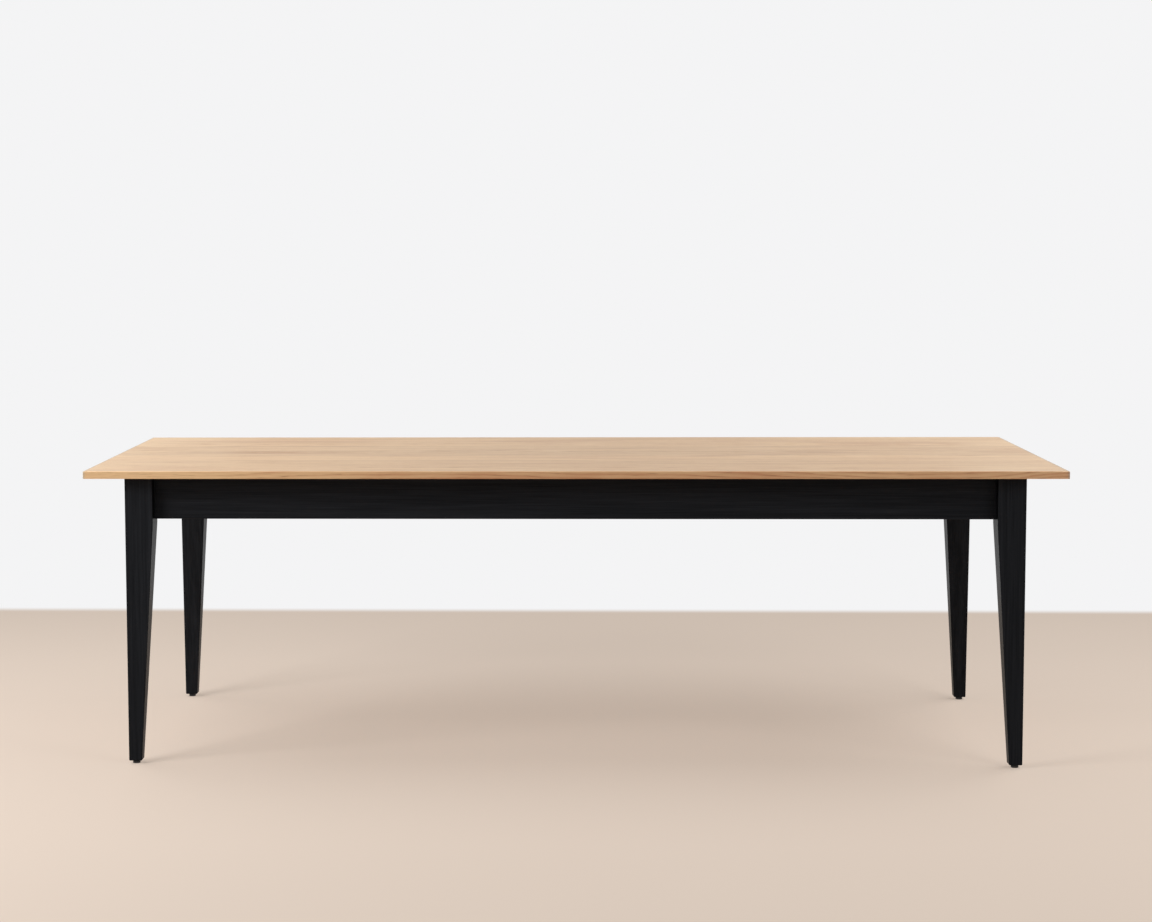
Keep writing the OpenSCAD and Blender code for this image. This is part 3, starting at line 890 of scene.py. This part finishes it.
clipPlaces = []  # x, y and turn
for step in (-1.5, -0.5, 0.5, 1.5):
    clipPlaces += [(step * joinery["railEvery"], end * innerY, -end * math.pi / 2) for end in (-1, 1)]
for row in (-joinery["clipRow"], joinery["clipRow"]):
    clipPlaces += [(-innerX, row, 0), (innerX, row, math.pi)]
    clipPlaces += [(step * joinery["railEvery"] + joinery["railHalf"], row, 0) for step in (-1, 0, 1)]
clipSpots = [
    Matrix.Translation((x, y, underTop)) @ Matrix.Rotation(turn, 4, "Z") for x, y, turn in clipPlaces
]
fittedZinc("topClips", makeClip(), clipSpots, "top_clips")

clipSeat = Matrix.Translation((joinery["clipScrew"], 0, -clip["thick"]))
clipScrewSpots = [
    spot @ clipSeat @ Matrix.Rotation(woodScrew["turn"] * i, 4, "Z") for i, spot in enumerate(clipSpots)
]
fittedZinc("clipScrews", makeWoodScrew("clipScrew", "pan"), clipScrewSpots, "clip_screws")
print("clips and their screws made")

# Hanger bolts of the legs: wood thread in the leg, machine thread through the block, a washer and a nut

bolt = {
    "radius": 0.004,
    "length": 0.0891,
    "woodStart": 0.0002,
    "woodLength": 0.040,
    "woodRoot": 0.0029,
    "woodPitch": 0.0032,
    "woodShares": (0.5, 0.72, 0.78, 1),
    "point": (0.0064, 0.1),  # its length, and the share of the width at its end
    "plainShare": 1.12,  # of the machine thread's root, between the two threads
    "runOut": 0.0006,
    "machineStart": 0.057,
    "machineRoot": 0.00323,
    "machinePitch": 0.00125,
    "machineShares": (0.25, 0.5625, 0.6875, 1),
    "tip": (0.003, 0.001),  # radius at the end, and length
    "turn": 1.1,  # radians from one bolt to the next
}
washer = {"radius": 0.010, "thick": 0.0016, "hole": 0.0045, "arris": 0.00022}
nut = {"width": 0.013, "height": 0.0065, "bore": 0.00405, "flare": 0.0005, "turn": 0.37}
machineThread = {
    "outer": bolt["radius"],
    "root": bolt["machineRoot"],
    "pitch": bolt["machinePitch"],
    "shares": bolt["machineShares"],
    "sides": 20,
}


def makeTip(end):  # the chamfered end of a machine thread
    root, snug = machineThread["root"], modelling["rootFit"][0]
    radius, length = bolt["tip"]
    return turned("tip", 32, [(snug * root, end - 2 * length), (root, end - length), (radius, end)])


def makeHangerBolt():
    wood = {
        "outer": bolt["radius"],
        "root": bolt["woodRoot"],
        "pitch": bolt["woodPitch"],
        "shares": bolt["woodShares"],
        "sides": 18,
    }
    piece = threaded("hangerBolt", wood, bolt["woodStart"], bolt["woodLength"])
    narrowed(piece, bolt["woodStart"], *bolt["point"])
    radius, drawnIn = bolt["machineRoot"] * bolt["plainShare"], modelling["rootFit"][1]
    plain = [
        (drawnIn * bolt["woodRoot"], bolt["woodLength"] - modelling["spare"]),
        (radius, bolt["woodLength"] + bolt["runOut"]),
        (radius, bolt["machineStart"]),
        (drawnIn * bolt["machineRoot"], bolt["machineStart"] + bolt["runOut"]),
    ]
    fused(piece, turned("plain", 32, plain))
    machineEnd = bolt["length"] - bolt["tip"][1]
    fused(piece, threaded("machine", machineThread, bolt["machineStart"], machineEnd))
    return fused(piece, makeTip(bolt["length"]))


def makeWasher():
    radius, thick, bore = washer["radius"], washer["thick"], washer["hole"]
    piece = turned("washer", 64, [(radius, 0), (radius, thick)])
    fused(piece, turned("hole", 48, [(bore, -thick), (bore, 2 * thick)]), "DIFFERENCE")
    return eased(piece, washer["arris"])


def makeNut():
    high, bore, flare, spare = nut["height"], nut["bore"], nut["flare"], modelling["spare"]
    piece = hexagon("nut", nut["width"], 0, high)
    wide = bore + flare + spare
    rings = [(wide, -spare), (bore, flare), (bore, high - flare), (wide, high + spare)]
    return fused(piece, turned("bore", 48, rings), "DIFFERENCE")


def boltSpots(along, turn=0):
    spots = []
    out = along / math.sqrt(2)
    for side, end in corners.values():
        for height in joinery["boltHeights"]:
            place = (side * (legX - out), end * (legY - out), height)
            spots.append(aimed(place, (-side, -end, 0), turn * len(spots)))
    return spots


nutAt = joinery["washerAt"] + washer["thick"]
fittedZinc("hangerBolts", makeHangerBolt(), boltSpots(joinery["boltStart"], bolt["turn"]), "hanger_bolts")
fittedZinc("boltWashers", makeWasher(), boltSpots(joinery["washerAt"]), "bolt_washers")
fittedZinc("boltNuts", makeNut(), boltSpots(nutAt, nut["turn"]), "bolt_nuts")
print("hanger bolts made")

# Levelling feet: an insert in each leg, and a stem that turns in it and in its pad

insert = {
    "radius": 0.006,
    "root": 0.0051,
    "pitch": 0.0025,
    "shares": (0.45, 0.7, 0.78, 1),
    "length": 0.018,
    "end": (0.002, 0.87),  # length that is drawn in, and the share of the width at its end
    "flange": 0.008,
    "flangeThick": 0.0012,
    "flangeArris": (0.0003, 0.0002),  # below and above
    "threadInFlange": 0.6,  # of its thickness
    "bore": 0.00405,
    "boreFlare": 0.0006,
}
foot = {
    "hexWidth": 0.014,
    "padTop": 0.005,
    "threadLength": 0.028,
    "threadGap": 0.0006,  # plain length over the hexagon
    "spigot": 0.003,
    "spigotLength": 0.003,
    "arris": 0.0002,
    "turn": 0.4,  # radians from one stem to the next
}


def makeInsert():
    coarse = {
        "outer": insert["radius"],
        "root": insert["root"],
        "pitch": insert["pitch"],
        "shares": insert["shares"],
        "sides": 20,
    }
    long, wide, thick = insert["length"], insert["flange"], insert["flangeThick"]
    piece = threaded("insert", coarse, insert["threadInFlange"] * thick, long)
    narrowed(piece, long, *insert["end"])
    low, high = insert["flangeArris"]
    rings = [(wide - low, 0), (wide, low), (wide, thick - high), (wide - high, thick)]
    fused(piece, turned("flange", 48, rings))
    bore, flare, spare = insert["bore"], insert["boreFlare"], modelling["spare"]
    rings = [(bore + flare + spare, -spare), (bore, flare), (bore, long + spare)]
    return fused(piece, turned("bore", 48, rings), "DIFFERENCE")


def makeStem():
    top = legFoot + foot["threadLength"]
    piece = threaded("stem", machineThread, legFoot + foot["threadGap"], top - bolt["tip"][1])
    fused(piece, makeTip(top))
    low, wide, arris = foot["padTop"] - foot["spigotLength"], foot["spigot"], foot["arris"]
    inside = modelling["rootFit"][0] * machineThread["root"]
    rings = [
        (wide - arris, low),
        (wide, low + arris),
        (wide, legFoot),
        (inside, legFoot + arris),
        (inside, legFoot + modelling["spare"]),
    ]
    fused(piece, turned("spigot", 32, rings))
    return fused(piece, hexagon("hexagon", foot["hexWidth"], foot["padTop"], legFoot))


footX, footY = legX - joinery["footIn"], legY - joinery["footIn"]
insertSpots = [Matrix.Translation((side * footX, end * footY, legFoot)) for side, end in corners.values()]
fittedZinc("footInserts", makeInsert(), insertSpots, "foot_inserts")
stem = makeStem()
for i, (corner, (side, end)) in enumerate(corners.items()):
    spot = Matrix.Translation((side * footX, end * footY, 0)) @ Matrix.Rotation(foot["turn"] * i, 4, "Z")
    name, body = "foot_stem_" + corner, "stem_" + corner
    fitted("footStem_" + corner, stem, [spot], name, body, blackSteel)
bpy.data.objects.remove(stem)
print("levelling feet made")
